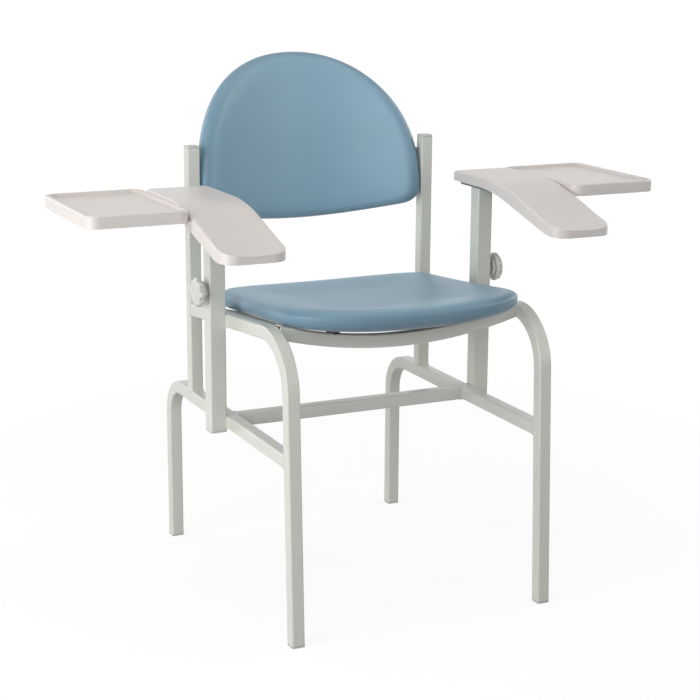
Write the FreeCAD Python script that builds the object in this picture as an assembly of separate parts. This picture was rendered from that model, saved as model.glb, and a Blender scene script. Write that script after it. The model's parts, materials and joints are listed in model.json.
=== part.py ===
import FreeCAD, Part
import math
import os

# Phlebotomy chair: welded square-tube frame, upholstered seat and back, and on each side an
# arm that slides up and down in a square sleeve and is clamped by a lobed hand knob.
# Millimetres. The chair faces -Y, +Z is up, left is -X and right is +X as seen from the front.
# The origin is on the floor under the middle of the chair.

Vector = FreeCAD.Vector
origin = Vector(0, 0, 0)
side_normal = Vector(1, 0, 0)
up = Vector(0, 0, 1)

# Frame
frame_width = 475.0         # over the outer faces of the two side frames
frame_depth = 591.0         # from the front feet to the back of the rear legs
tube = 22.2                 # square tube of legs, rails, posts and cross members
tube_wall = 1.6
tube_corner = 2.8           # outside corner radius of the tube
front_leg_lean = 2.55       # degrees, feet forward
seat_rail_slope = 5.2       # degrees, rising to the front
seat_rail_corner_height = 510.0     # where the outer faces of leg and rail would meet
front_bend_radius = 88.0    # on the tube's centre line
rear_bend_radius = 60.0
lower_rail_height = 300.5   # centre line
back_post_setback = 450.6   # front of the front feet to the front of the post
back_post_height = 741.5

# Cross members, with the seat bearers placed along the seat rail from its sharp front corner
sleeve_setback = 290.7      # front feet to the middle of sleeve and stretcher
front_bearer_along = 84.0
rear_bearer_along = 335.0
bearer_droop = 30.0         # how far the bearers bow down in the middle

# Glides, caps and plugs
glide_height = 4.0
insert_depth = 14.0         # how far each plastic insert reaches into its tube
insert_play = 0.05
cap_height = 5.0
cap_round = 2.4

# Arm sleeve, arm post and clamp
sleeve = 28.6
sleeve_wall = 2.9
sleeve_corner = 2.8
sleeve_top_height = 669.6
sleeve_foot_below_rail = 2.0
plug_flange = 3.0
post_foot_plug = 3.0
post_foot_gap = 4.6         # between the insert in the sleeve's foot and the lowered arm post
knob_axis_height = 526.0
stud_radius = 4.0
stud_bore_play = 0.05
stud_tip_gap = 0.3
nut_radius = 7.0
nut_length = 6.0

# Hand knob
knob_radius = 25.0
knob_rim_inner_radius = 18.5
knob_hub_radius = 9.0
knob_rim_length = 12.0
knob_length = 18.5
knob_web = 7.0              # from the front of the knob back to the floor of its rear recess
knob_hub_boss = 2.5         # how far the hub stands back from that floor
knob_gap = 5.0              # sleeve face to the back of the rim
knob_lobes = 8
knob_flute_radius = 7.5
knob_flute_depth = 2.6
knob_dimple_radius = 4.6
knob_dimple_depth = 1.2
stud_in_knob = 7.0

# Arm plate under arm rest and tray
plate = 4.5
plate_width = 28.0
plate_length = 124.0
plate_corner_share = 0.99   # of half the plate's width
tray_branch_reach = 200.0   # from the plate's middle line out under the tray
rest_gap = 0.3              # plate to the top of the sleeve when the arm is fully down

# Arm rest moulding
rest_inner_overhang = 4.3   # inboard of the sleeve's inner face
rest_width = 110.3
rest_front = 11.0           # front of the front feet to the front edge
rest_length = 358.5
rest_skirt = 16.2           # height of the rear face
rest_front_corner = 27.0
rest_rear_corner = 13.0
rest_edge_round = 4.0
plate_slot_play = 1.0       # round the arm plate where rest and tray hang down beside it

# Top line of the arm rest: level behind, bent down, straight, bent out again
top_level_from = 240.0      # level behind this distance from the front feet
top_brow_radius = 345.0
top_fall_angle = 17.5       # degrees
top_fall_run = 80.0
top_toe_radius = 200.0
top_toe_angle = 13.0        # degrees

# Bottom line of the arm rest, of the same kind
low_level_from = 271.0
low_brow_radius = 330.0
low_fall_angle = 14.8       # degrees
low_fall_run = 131.0
low_toe_radius = 200.0
low_toe_angle = 4.0         # degrees

# Dish in the top of the arm rest, deepest at the front edge
rest_dish_depth = 3.6
rest_dish_width = 104.0
rest_dish_length = 245.0
rest_dish_margin = 0.5      # how far the cutter's straight edges run above the top
rest_dish_stations = 9
rest_dish_end_share = 0.02  # of the depth, left in the cutter at its rear end

# Side tray moulding
tray_gap = 1.7
tray_width = 166.5
tray_front = 136.6
tray_length = 250.5
tray_height = 20.2
tray_drop = 5.4             # how far its lower edge hangs below the level part of the rest
tray_corner = 20.0
tray_rim = 7.0
tray_recess = 5.5
tray_edge_round = 2.5
tray_screw_share = 1 / 6    # of the tray's width, from its inner face to the first screw

# Moulding walls, ribs and bosses
mould_wall = 3.0
rib = 2.4
boss_radius = 5.5
rest_cross_ribs = 6
tray_long_ribs = 2
tray_cross_ribs = 3

# Seat cushion, measured in the slope of the seat rails
seat_half_width = 210.4
seat_taper_share = 0.05     # how much narrower the rear is than the front
seat_front_along = -16.4    # front edge from the sharp corner of the rail
seat_length = 449.6
seat_top_middle = 23.0      # above the top face of the rails
seat_top_side = 28.2
seat_bottom_middle = -16.4
seat_bottom_side = -0.5
seat_side_round = 18.0
seat_front_reach = 133.0    # how far back the rounded front of the outline reaches
seat_rear_reach = 88.0
seat_end_roll = 35.0        # the length over which front and rear edges roll over
seat_front_power = 2.71
seat_rear_power = 2.56
seat_dip = 4.0              # how much deeper the middle of the seat lies than its ends
seat_rear_curl = 3.3        # how far the sides rise towards the rear

# Seat board and its fixings
seat_board_half_width = 172.0
seat_board_front_along = 30.0
seat_board_length = 352.0
seat_board = 12.0
seat_board_corner = 40.0
seat_board_proud = 1.0
seat_screw_lean = 9.0       # degrees off upright, square to the bowed bearers
spacer_radius = 11.0
access_hole_radius = 6.5
screw_radius = 2.4
screw_head_radius = 5.0
screw_head = 3.0
screw_socket_radius = 1.7
screw_socket_depth = 1.6
screw_grip = 9.0
seat_grip_share = 0.6       # of the seat board's thickness
back_screw_grip = 8.1
screw_play = 0.4

# Back cushion, leaning back a little
back_half_width = 209.9
back_level = 659.5          # height at which the setback is measured
back_setback = 517.0        # front feet to the front face in the middle
back_recline_share = 0.1    # setback gained for each unit of height
back_hollow = 86.0          # how far the middle lies behind the sides
back_thickness = 36.0
back_crown = 2.8
back_round = 11.0
back_side_round = 16.5
back_dome_top = 894.2
back_bottom = 596.3
back_bottom_bow = 30.4      # how far the bottom edge droops in the middle
back_corner = 18.0
back_side_power = 2.15
back_dome_power = 2.46
back_thin_share = 0.25      # thickness left at the very edge of the sides
back_round_share = 0.3      # edge rounding left there

# Board in the rear of the back cushion
back_board = 10.0
back_board_inset = 22.0
back_board_proud = 1.0
back_board_corner = 14.0

# Back straps
strap = 4.0
strap_height = 25.0
upper_strap_height = 709.0
lower_strap_height = 664.0
strap_gap = 0.1
strap_bend_x = 221.0
strap_contact_x = 182.0
strap_screw_spacing = 150.0

# Loft sections
full_round_share = 0.95      # of half a thickness, the largest edge rounding
seat_stations = 25
back_stations = 23
steepest_station = 86.0     # degrees round a half circle
board_arch_steps = 16

# One overrun for every cut
over = 1.0

# How far in the middle of a quarter arc lies, as a share of its radius
quarter_share = 1 - math.sqrt(1 / 2)

# Places that follow from the sizes above
half_width = frame_width / 2
half_depth = frame_depth / 2
front_y = -half_depth
rail_x = half_width - tube / 2
inner_x = half_width - tube
post_y = front_y + back_post_setback
sleeve_y = front_y + sleeve_setback
sleeve_x = half_width + sleeve / 2
sleeve_face_x = half_width + sleeve
lower_rail_top = lower_rail_height + tube / 2
lower_rail_bottom = lower_rail_height - tube / 2
lean = math.radians(front_leg_lean)
slope = math.radians(seat_rail_slope)
corner_y = front_y + seat_rail_corner_height * math.tan(lean)
post_foot_height = lower_rail_bottom - sleeve_foot_below_rail + insert_depth + post_foot_gap
rest_bottom = sleeve_top_height + rest_gap + plate
rest_top = rest_bottom + rest_skirt
rest_inner_x = half_width - rest_inner_overhang
rest_outer_x = rest_inner_x + rest_width
tray_inner_x = rest_outer_x + tray_gap
tray_outer_x = tray_inner_x + tray_width
tray_bottom = rest_bottom - tray_drop
tray_top = tray_bottom + tray_height
rest_middle_x = (rest_inner_x + rest_outer_x) / 2
rest_front_y = front_y + rest_front
rest_rear_y = rest_front_y + rest_length
rest_low = rest_bottom - 4 * rest_skirt
bow_radius = (back_half_width ** 2 + back_hollow ** 2) / (2 * back_hollow)
back_reach = back_setback + 4 * back_thickness
seat_board_bottom = seat_bottom_middle - seat_board_proud


def box(x0, x1, y0, y1, z0, z1):
    """A box between two corners."""
    return Part.makeBox(x1 - x0, y1 - y0, z1 - z0, Vector(x0, y0, z0))


def polygon_face(points):
    """A flat face inside straight edges."""
    return Part.Face(Part.makePolygon(points + points[:1]))


def fuse_all(shapes):
    """One shape from several."""
    result = shapes[0]
    for shape in shapes[1:]:
        result = result.fuse(shape)
    return result


def group(shapes):
    """Several separate solids in one node."""
    return Part.makeCompound(shapes)


def mirrored(shape):
    """The same piece on the other side of the chair."""
    return shape.mirror(origin, side_normal)


def both_sides(shapes):
    """The given pieces of the right side with their twins of the left side."""
    return group(shapes + [mirrored(shape) for shape in shapes])


def rounded_rectangle(centre, u, v, width, height, corner):
    """A wire of four lines and four quarter arcs in the plane of u and v."""
    half_u = width / 2
    half_v = height / 2
    middle = corner * quarter_share
    edges = []
    last = None
    first = None
    for su, sv in ((1, 1), (-1, 1), (-1, -1), (1, -1)):
        on_side = centre + u * (su * half_u) + v * (sv * (half_v - corner))
        on_end = centre + u * (su * (half_u - corner)) + v * (sv * half_v)
        on_arc = centre + u * (su * (half_u - middle)) + v * (sv * (half_v - middle))
        start, end = (on_side, on_end) if su * sv > 0 else (on_end, on_side)
        if last is not None:
            edges.append(Part.makeLine(last, start))
        else:
            first = start
        edges.append(Part.Arc(start, on_arc, end).toShape())
        last = end
    edges.append(Part.makeLine(last, first))
    return Part.Wire(edges)


def prism(wire, direction):
    """The solid that a closed wire sweeps along a straight direction."""
    return Part.Face(wire).extrude(direction)


def upright_prism(x0, x1, y0, y1, z0, z1, corner):
    """A block with four rounded upright edges."""
    centre = Vector((x0 + x1) / 2, (y0 + y1) / 2, z0)
    wire = rounded_rectangle(centre, Vector(1, 0, 0), Vector(0, 1, 0), x1 - x0, y1 - y0, corner)
    return prism(wire, Vector(0, 0, z1 - z0))


def square_tube(path, start, u, v, size, wall, corner):
    """The full outside and the hollow tube of a square tube along a path."""
    outside_wire = rounded_rectangle(start, u, v, size, size, corner)
    inside = size - 2 * wall
    inside_wire = rounded_rectangle(start, u, v, inside, inside, max(corner - wall, wall / 2))
    outside = path.makePipeShell([outside_wire], True, False)
    bore = path.makePipeShell([inside_wire], True, False)
    return outside, outside.cut(bore)


def bent_path(start, corner, end, radius):
    """Straight, round bend, straight."""
    back = (start - corner).normalize()
    ahead = (end - corner).normalize()
    half_angle = back.getAngle(ahead) / 2
    reach = radius / math.tan(half_angle)
    inward = (back + ahead).normalize()
    first = corner + back * reach
    last = corner + ahead * reach
    middle = corner + inward * (radius / math.sin(half_angle) - radius)
    return Part.Wire([Part.makeLine(start, first), Part.Arc(first, middle, last).toShape(),
                      Part.makeLine(last, end)])


def meeting_point(p, along_p, q, along_q):
    """Where two lines of the YZ plane cross."""
    cross = along_p.y * along_q.z - along_p.z * along_q.y
    gap = q - p
    share = (gap.y * along_q.z - gap.z * along_q.y) / cross
    return p + along_p * share


def straight_tube(start, end, u, v):
    """The full outside and the hollow of a straight frame tube."""
    return square_tube(Part.Wire(Part.makeLine(start, end)), start, u, v, tube, tube_wall, tube_corner)


leg_up = Vector(0, math.sin(lean), math.cos(lean))
leg_in = Vector(0, math.cos(lean), -math.sin(lean))
rail_back = Vector(0, math.cos(slope), -math.sin(slope))
rail_up = Vector(0, math.sin(slope), math.cos(slope))
rail_corner = Vector(0, corner_y, seat_rail_corner_height)


def in_seat_slope(shape):
    """Carry a piece modelled level, with the rail's corner at the origin, to the seat's slope."""
    turned = shape.copy()
    turned.rotate(origin, side_normal, -seat_rail_slope)
    turned.translate(rail_corner)
    return turned


def front_leg_and_seat_rail():
    """One bent tube: front leg, large bend and sloping seat rail, up to the back post."""
    leg_line = rail_corner + leg_in * (tube / 2)
    rail_line = rail_corner - rail_up * (tube / 2)
    bend = meeting_point(leg_line, leg_up, rail_line, rail_back)
    foot = bend - leg_up * ((bend.z + tube) / leg_up.z)
    tail = bend + rail_back * ((post_y + tube / 2 - bend.y) / rail_back.y)
    place = Vector(rail_x, 0, 0)
    path = bent_path(foot + place, bend + place, tail + place, front_bend_radius)
    outside, hollow = square_tube(path, foot + place, Vector(1, 0, 0), leg_in,
                                  tube, tube_wall, tube_corner)
    below_floor = box(rail_x - tube, rail_x + tube, front_y - 2 * tube, front_y + 4 * tube,
                      -4 * tube, glide_height)
    behind_post = box(rail_x - tube, rail_x + tube, post_y, post_y + 4 * tube,
                      lower_rail_height, back_post_height)
    return outside.cut(behind_post), hollow.cut(below_floor).cut(behind_post)


def rear_leg_and_lower_rail(front_leg_outside):
    """One bent tube: rear leg, bend and level lower rail, up to the front leg."""
    rear_y = half_depth - tube / 2
    foot = Vector(rail_x, rear_y, glide_height)
    bend = Vector(rail_x, rear_y, lower_rail_height)
    nose = Vector(rail_x, front_y + tube, lower_rail_height)
    path = bent_path(foot, bend, nose, rear_bend_radius)
    outside, hollow = square_tube(path, foot, Vector(1, 0, 0), Vector(0, 1, 0),
                                  tube, tube_wall, tube_corner)
    return outside, hollow.cut(front_leg_outside)


def back_post():
    """Upright that stands on the lower rail and carries the back."""
    foot = Vector(rail_x, post_y + tube / 2, lower_rail_top)
    head = Vector(rail_x, post_y + tube / 2, back_post_height)
    return straight_tube(foot, head, Vector(1, 0, 0), Vector(0, 1, 0))[1]


def lower_stretcher():
    """Cross tube between the two lower rails."""
    left = Vector(-inner_x, sleeve_y, lower_rail_height)
    right = Vector(inner_x, sleeve_y, lower_rail_height)
    return straight_tube(left, right, Vector(0, 1, 0), up)[1]


def seat_bearer(along):
    """Cross tube under the seat, bowed down in the middle, its ends butted on the rails."""
    low_point = Vector(0, along, -bearer_droop - tube / 2)
    centre = low_point + up * bearer_radius()
    half_turn = math.degrees(math.asin((inner_x + tube) / bearer_radius()))
    across = Vector(0, 1, 0)
    turned = []
    for size, corner in ((tube, tube_corner), (tube - 2 * tube_wall, tube_corner - tube_wall)):
        face = Part.Face(rounded_rectangle(low_point, across, up, size, size, corner))
        face.rotate(centre, across, -half_turn)
        turned.append(face.revolve(centre, across, 2 * half_turn))
    outside, bore = turned
    between_rails = box(-inner_x, inner_x, along - tube, along + tube, low_point.z - tube, tube)
    return in_seat_slope(outside), in_seat_slope(outside.cut(bore).common(between_rails))


def insert(x, y, z, size, wall, corner, direction):
    """The part of a plastic cap or glide that sits inside a square tube."""
    inside = size / 2 - wall - insert_play
    low, high = sorted((z, z + direction * insert_depth))
    return upright_prism(x - inside, x + inside, y - inside, y + inside, low, high,
                         max(corner - wall, wall / 2))


def leg_glide(y, foot_shift):
    """Plastic foot: a flange as wide as the tube and an insert inside it."""
    half = tube / 2
    flange = upright_prism(rail_x - half, rail_x + half, y - half, y + half, 0, glide_height, tube_corner)
    plug = insert(rail_x, y, glide_height, tube, tube_wall, tube_corner, 1)
    if foot_shift:
        plug = plug.common(foot_shift)
    return flange.fuse(plug)


def front_glide():
    """Glide of a leaning front leg, its insert trimmed to the leaning tube."""
    y = front_y + glide_height * math.tan(lean) + tube / math.cos(lean) / 2
    inside = tube / 2 - tube_wall - insert_play
    centre = Vector(rail_x, y - glide_height * math.tan(lean), 0)
    wire = rounded_rectangle(centre, Vector(1, 0, 0), leg_in, 2 * inside, 2 * inside, tube_wall / 2)
    leaning = prism(wire, leg_up * (glide_height + insert_depth + tube))
    return leg_glide(y, leaning)


def back_post_cap():
    """Small domed cap in the open top of a back post."""
    y = post_y + tube / 2
    half = tube / 2
    dome = upright_prism(rail_x - half, rail_x + half, y - half, y + half,
                         back_post_height, back_post_height + cap_height, tube_corner)
    top = back_post_height + cap_height
    rim = [edge for edge in dome.Edges if edge.BoundBox.ZMin > top - tube_wall / 2]
    dome = dome.makeFillet(min(cap_round, cap_height / 2), rim)
    return dome.fuse(insert(rail_x, y, back_post_height, tube, tube_wall, tube_corner, -1))


def arm_sleeve(stud_hole):
    """Square outer tube on the outside of the side frame, in which the arm post slides."""
    foot = lower_rail_bottom - sleeve_foot_below_rail
    path = Part.Wire(Part.makeLine(Vector(sleeve_x, sleeve_y, foot),
                                   Vector(sleeve_x, sleeve_y, sleeve_top_height)))
    hollow = square_tube(path, Vector(sleeve_x, sleeve_y, foot), Vector(1, 0, 0), Vector(0, 1, 0),
                         sleeve, sleeve_wall, sleeve_corner)[1]
    return hollow.cut(stud_hole)


def sleeve_plug():
    """Plastic plug that closes the lower end of a sleeve."""
    half = sleeve / 2
    top = lower_rail_bottom - sleeve_foot_below_rail
    flange = upright_prism(sleeve_x - half, sleeve_x + half, sleeve_y - half, sleeve_y + half,
                           top - plug_flange, top, sleeve_corner)
    return flange.fuse(insert(sleeve_x, sleeve_y, top, sleeve, sleeve_wall, sleeve_corner, 1))


def on_knob_axis(x):
    """A point on the axis of the right knob."""
    return Vector(x, sleeve_y, knob_axis_height)


def clamp_nut():
    """Round nut welded to the outer face of the sleeve."""
    body = Part.makeCylinder(nut_radius, nut_length, on_knob_axis(sleeve_face_x), side_normal)
    bore = Part.makeCylinder(stud_radius + stud_bore_play, nut_length + 2 * over,
                             on_knob_axis(sleeve_face_x - over), side_normal)
    return body.cut(bore)


def clamp_stud():
    """Threaded stud in the knob, whose tip presses on the arm post."""
    tip = sleeve_x + tube / 2 + stud_tip_gap
    head = sleeve_face_x + knob_gap + knob_length - knob_web - knob_hub_boss + stud_in_knob
    return Part.makeCylinder(stud_radius, head - tip, on_knob_axis(tip), side_normal)


def hand_knob(stud):
    """Fluted hand knob with a domed face, a hollow back and a hub for its stud."""
    back = sleeve_face_x + knob_gap
    front = back + knob_length
    floor = front - knob_web
    hub_back = floor - knob_hub_boss
    shoulder = back + knob_rim_length

    def at(x, radius):
        return Vector(x, sleeve_y + radius, knob_axis_height)

    middle_radius = (knob_radius + knob_dimple_radius) / 2
    crown = front - (front - shoulder) / 4
    edges = [Part.makeLine(at(hub_back, 0), at(hub_back, knob_hub_radius)),
             Part.makeLine(at(hub_back, knob_hub_radius), at(floor, knob_hub_radius)),
             Part.makeLine(at(floor, knob_hub_radius), at(floor, knob_rim_inner_radius)),
             Part.makeLine(at(floor, knob_rim_inner_radius), at(back, knob_rim_inner_radius)),
             Part.makeLine(at(back, knob_rim_inner_radius), at(back, knob_radius)),
             Part.makeLine(at(back, knob_radius), at(shoulder, knob_radius)),
             Part.Arc(at(shoulder, knob_radius), at(crown, middle_radius),
                      at(front, knob_dimple_radius)).toShape(),
             Part.makeLine(at(front, knob_dimple_radius),
                           at(front - knob_dimple_depth, knob_dimple_radius)),
             Part.makeLine(at(front - knob_dimple_depth, knob_dimple_radius),
                           at(front - knob_dimple_depth, 0)),
             Part.makeLine(at(front - knob_dimple_depth, 0), at(hub_back, 0))]
    knob = Part.Face(Part.Wire(edges)).revolve(on_knob_axis(0), side_normal, 360)
    flute = Part.makeCylinder(knob_flute_radius, knob_length + 2 * over,
                              at(back - over, knob_radius + knob_flute_radius - knob_flute_depth),
                              side_normal)
    flutes = []
    for index in range(knob_lobes):
        turned = flute.copy()
        turned.rotate(on_knob_axis(0), side_normal, 360 * index / knob_lobes)
        flutes.append(turned)
    return knob.cut(group(flutes)).cut(stud)


def arm_post():
    """Square tube that slides in the sleeve and carries the arm plate."""
    return straight_tube(Vector(sleeve_x, sleeve_y, post_foot_height + post_foot_plug),
                         Vector(sleeve_x, sleeve_y, rest_bottom - plate),
                         Vector(1, 0, 0), Vector(0, 1, 0))[1]


def arm_post_plug():
    """Plastic glide plug in the foot of the arm post."""
    half = tube / 2
    top = post_foot_height + post_foot_plug
    flange = upright_prism(sleeve_x - half, sleeve_x + half, sleeve_y - half, sleeve_y + half,
                           post_foot_height, top, tube_corner)
    return flange.fuse(insert(sleeve_x, sleeve_y, top, tube, tube_wall, tube_corner, 1))


def arm_screw_places():
    """Screws that hold the arm rest and the tray on the arm plate."""
    end = (plate_length - plate_width) / 2
    tray_x = tray_inner_x + tray_width * tray_screw_share
    tray_far_x = sleeve_x + tray_branch_reach - plate_width / 2
    return [(sleeve_x, sleeve_y - end), (sleeve_x, sleeve_y + end),
            (tray_x, sleeve_y), (tray_far_x, sleeve_y)]


def arm_plate():
    """Flat T-shaped steel plate on the arm post, with rounded ends and screw holes."""
    z0 = rest_bottom - plate
    half = plate_width / 2
    reach = plate_length / 2
    bar = upright_prism(sleeve_x - half, sleeve_x + half, sleeve_y - reach, sleeve_y + reach,
                        z0, rest_bottom, half * plate_corner_share)
    branch = upright_prism(sleeve_x - half, sleeve_x + tray_branch_reach, sleeve_y - half,
                           sleeve_y + half, z0, rest_bottom, half * plate_corner_share)
    shape = bar.fuse(branch)
    for x, y in arm_screw_places():
        hole = Part.makeCylinder(screw_radius + screw_play, plate + 2 * over, Vector(x, y, z0 - over))
        shape = shape.cut(hole)
    return shape.removeSplitter()


def pan_screw(x, y, seat_z, direction, length):
    """Pan-head screw with a round socket, its head seated at seat_z."""
    axis = Vector(0, 0, direction)
    head = Part.makeCylinder(screw_head_radius, screw_head, Vector(x, y, seat_z), -axis)
    top_z = seat_z - direction * screw_head
    rim = [edge for edge in head.Edges
           if max(abs(edge.BoundBox.ZMin - top_z), abs(edge.BoundBox.ZMax - top_z)) < screw_play]
    head = head.makeFillet(screw_head / 2, rim)
    shank = Part.makeCylinder(screw_radius, length, Vector(x, y, seat_z), axis)
    socket = Part.makeCylinder(screw_socket_radius, screw_socket_depth, Vector(x, y, top_z), axis)
    return head.fuse(shank).cut(socket)


class FallingLine:
    """Side line of the arm rest: level behind, bent down, straight, and bent out again in front."""

    def __init__(self, height, level_from, brow_radius, fall_angle, fall_run, toe_radius, toe_angle):
        self.height = height
        self.brow_radius = brow_radius
        self.toe_radius = toe_radius
        self.fall = math.radians(fall_angle)
        self.toe = math.radians(toe_angle)
        self.brow_y = front_y + level_from
        self.fall_y = self.brow_y - brow_radius * math.sin(self.fall)
        self.fall_height = height - brow_radius * (1 - math.cos(self.fall))
        self.toe_y = self.fall_y - fall_run * math.cos(self.fall)
        self.toe_height = self.fall_height - fall_run * math.sin(self.fall)
        self.end_y = self.toe_y - toe_radius * (math.sin(self.fall) - math.sin(self.toe))
        self.end_height = self.toe_height - toe_radius * (math.cos(self.toe) - math.cos(self.fall))

    def height_at(self, y):
        """Height of the line at one place along the arm."""
        if y >= self.brow_y:
            return self.height
        if y >= self.fall_y:
            ahead = self.brow_y - y
            return self.height - self.brow_radius + math.sqrt(self.brow_radius ** 2 - ahead ** 2)
        if y >= self.toe_y:
            return self.fall_height - (self.fall_y - y) * math.tan(self.fall)
        if y >= self.end_y:
            turned = math.sin(self.fall) - (self.toe_y - y) / self.toe_radius
            return self.toe_height - self.toe_radius * (math.sqrt(1 - turned ** 2) - math.cos(self.fall))
        return self.end_height - (self.end_y - y) * math.tan(self.toe)

    def edges(self, rear, front, lowered):
        """The line's edges from its rear end to its front end."""
        def at(y):
            return Vector(0, y, self.height_at(y) - lowered)

        return [Part.makeLine(at(rear), at(self.brow_y)),
                Part.Arc(at(self.brow_y), at((self.brow_y + self.fall_y) / 2), at(self.fall_y)).toShape(),
                Part.makeLine(at(self.fall_y), at(self.toe_y)),
                Part.Arc(at(self.toe_y), at((self.toe_y + self.end_y) / 2), at(self.end_y)).toShape(),
                Part.makeLine(at(self.end_y), at(front))]


top_line = FallingLine(rest_top, top_level_from, top_brow_radius, top_fall_angle, top_fall_run,
                       top_toe_radius, top_toe_angle)
low_line = FallingLine(rest_bottom, low_level_from, low_brow_radius, low_fall_angle, low_fall_run,
                       low_toe_radius, low_toe_angle)


def rest_side(inset):
    """Block with the arm rest's side outline, its ends and top set in and its underside as it is."""
    rear = rest_rear_y - inset
    front = rest_front_y + inset
    top_rear = Vector(0, rear, rest_top - inset)
    top_front = Vector(0, front, top_line.height_at(front) - inset)
    low_rear = Vector(0, rear, rest_bottom)
    low_front = Vector(0, front, low_line.height_at(front))
    outline = Part.Wire(top_line.edges(rear, front, inset) + [Part.makeLine(top_front, low_front)]
                        + low_line.edges(rear, front, 0)[::-1] + [Part.makeLine(low_rear, top_rear)])
    block = Part.Face(outline).extrude(Vector(rest_width, 0, 0))
    block.translate(Vector(rest_inner_x, 0, 0))
    return block


def rest_plan(inset):
    """Plan block of the arm rest: large corner radii in front, small ones behind."""
    x0 = rest_inner_x + inset
    x1 = rest_outer_x - inset
    y0 = rest_front_y + inset
    y1 = rest_rear_y - inset
    z1 = rest_top + over
    front_part = upright_prism(x0, x1, y0, y1, rest_low, z1, rest_front_corner - inset)
    rear_part = upright_prism(x0, x1, (y0 + y1) / 2, y1, rest_low, z1, rest_rear_corner - inset)
    behind = box(x0, x1, y1 - rest_front_corner, y1, rest_low, z1)
    return front_part.cut(behind).fuse(rear_part).removeSplitter()


def rest_dish(lowered):
    """Cutter of lens-shaped sections that follows the top line and fades out towards the rear."""
    sections = []
    half = rest_dish_width / 2
    start = rest_front_y - over
    for index in range(rest_dish_stations):
        share = index / (rest_dish_stations - 1)
        y = start + rest_dish_length * share
        edge_z = top_line.height_at(y) + rest_dish_margin - lowered
        fade = max(math.cos(math.pi / 2 * share) ** 2, rest_dish_end_share)
        left = Vector(rest_middle_x - half, y, edge_z)
        right = Vector(rest_middle_x + half, y, edge_z)
        low_point = Vector(rest_middle_x, y, edge_z - (rest_dish_depth + rest_dish_margin) * fade)
        sections.append(Part.Wire([Part.Arc(left, low_point, right).toShape(), Part.makeLine(right, left)]))
    return Part.makeLoft(sections, True, False)


def is_rim(edge):
    """Whether an edge of the arm rest's block runs round its top face."""
    middle = edge.valueAt((edge.FirstParameter + edge.LastParameter) / 2)
    on_top = abs(top_line.height_at(middle.y) - middle.z) < over / 10
    end = min(abs(middle.y - rest_front_y), abs(middle.y - rest_rear_y)) < over
    return on_top and (end or abs(middle.x - rest_middle_x) > over)


def rest_stiffeners():
    """Cross ribs, a long rib and two screw bosses under the arm rest."""
    pieces = [box(rest_middle_x - rib / 2, rest_middle_x + rib / 2, rest_front_y, rest_rear_y,
                  rest_low, rest_top)]
    for index in range(rest_cross_ribs):
        y = rest_front_y + rest_length * (index + 1) / (rest_cross_ribs + 1)
        pieces.append(box(rest_inner_x, rest_outer_x, y - rib / 2, y + rib / 2, rest_low, rest_top))
    for x, y in arm_screw_places()[:2]:
        pieces.append(Part.makeCylinder(boss_radius, rest_top - rest_low, Vector(x, y, rest_low)))
    return group(pieces)


def plate_bar_slot():
    """Cutter that clears the arm plate's bar where the arm rest hangs down beside it."""
    half = plate_width / 2 + plate_slot_play
    reach = plate_length / 2 + plate_slot_play
    return box(sleeve_x - half, sleeve_x + half, sleeve_y - reach, sleeve_y + reach, rest_low, rest_bottom)


def arm_rest():
    """Moulded arm rest: level behind, falling to the front, dished, hollow and ribbed below."""
    body = rest_side(0).common(rest_plan(0))
    body = body.makeFillet(rest_edge_round, [edge for edge in body.Edges if is_rim(edge)])
    body = body.cut(rest_dish(0))
    inner = rest_side(mould_wall).common(rest_plan(mould_wall))
    inner = inner.cut(rest_dish(mould_wall)).cut(rest_stiffeners())
    body = body.cut(inner).cut(plate_bar_slot())
    for x, y in arm_screw_places()[:2]:
        body = body.cut(Part.makeCylinder(screw_radius, screw_grip + over, Vector(x, y, rest_bottom - over)))
    return max(body.Solids, key=lambda solid: solid.Volume)


def tray_stiffeners():
    """Ribs both ways and two screw bosses under the tray."""
    pieces = []
    low = tray_bottom - over
    for index in range(tray_cross_ribs):
        y = front_y + tray_front + tray_length * (index + 1) / (tray_cross_ribs + 1)
        pieces.append(box(tray_inner_x, tray_outer_x, y - rib / 2, y + rib / 2, low, tray_top))
    for index in range(tray_long_ribs):
        x = tray_inner_x + tray_width * (index + 1) / (tray_long_ribs + 1)
        pieces.append(box(x - rib / 2, x + rib / 2, front_y + tray_front,
                          front_y + tray_front + tray_length, low, tray_top))
    for x, y in arm_screw_places()[2:]:
        pieces.append(Part.makeCylinder(boss_radius, tray_height + over, Vector(x, y, low)))
    return group(pieces)


def plate_branch_slot():
    """Cutter that lets the arm plate's branch in through the tray's inner wall."""
    half = plate_width / 2 + plate_slot_play
    return box(tray_inner_x - over, sleeve_x + tray_branch_reach + plate_slot_play,
               sleeve_y - half, sleeve_y + half, tray_bottom - over, rest_bottom)


def side_tray():
    """Moulded tray: raised rim, recessed floor, hollow and ribbed below."""
    y0 = front_y + tray_front
    y1 = y0 + tray_length
    body = upright_prism(tray_inner_x, tray_outer_x, y0, y1, tray_bottom, tray_top, tray_corner)
    rim_edges = [edge for edge in body.Edges if edge.BoundBox.ZMin > tray_top - over / 10]
    body = body.makeFillet(tray_edge_round, rim_edges)
    recess = upright_prism(tray_inner_x + tray_rim, tray_outer_x - tray_rim, y0 + tray_rim, y1 - tray_rim,
                           tray_top - tray_recess, tray_top + over, tray_corner - tray_rim)
    hollow = upright_prism(tray_inner_x + mould_wall, tray_outer_x - mould_wall, y0 + mould_wall,
                           y1 - mould_wall, tray_bottom - over, tray_top - tray_recess - mould_wall,
                           tray_corner - mould_wall)
    body = body.cut(recess).cut(hollow.cut(tray_stiffeners())).cut(plate_branch_slot())
    for x, y in arm_screw_places()[2:]:
        body = body.cut(Part.makeCylinder(screw_radius, screw_grip + over, Vector(x, y, rest_bottom - over)))
    return body


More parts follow.
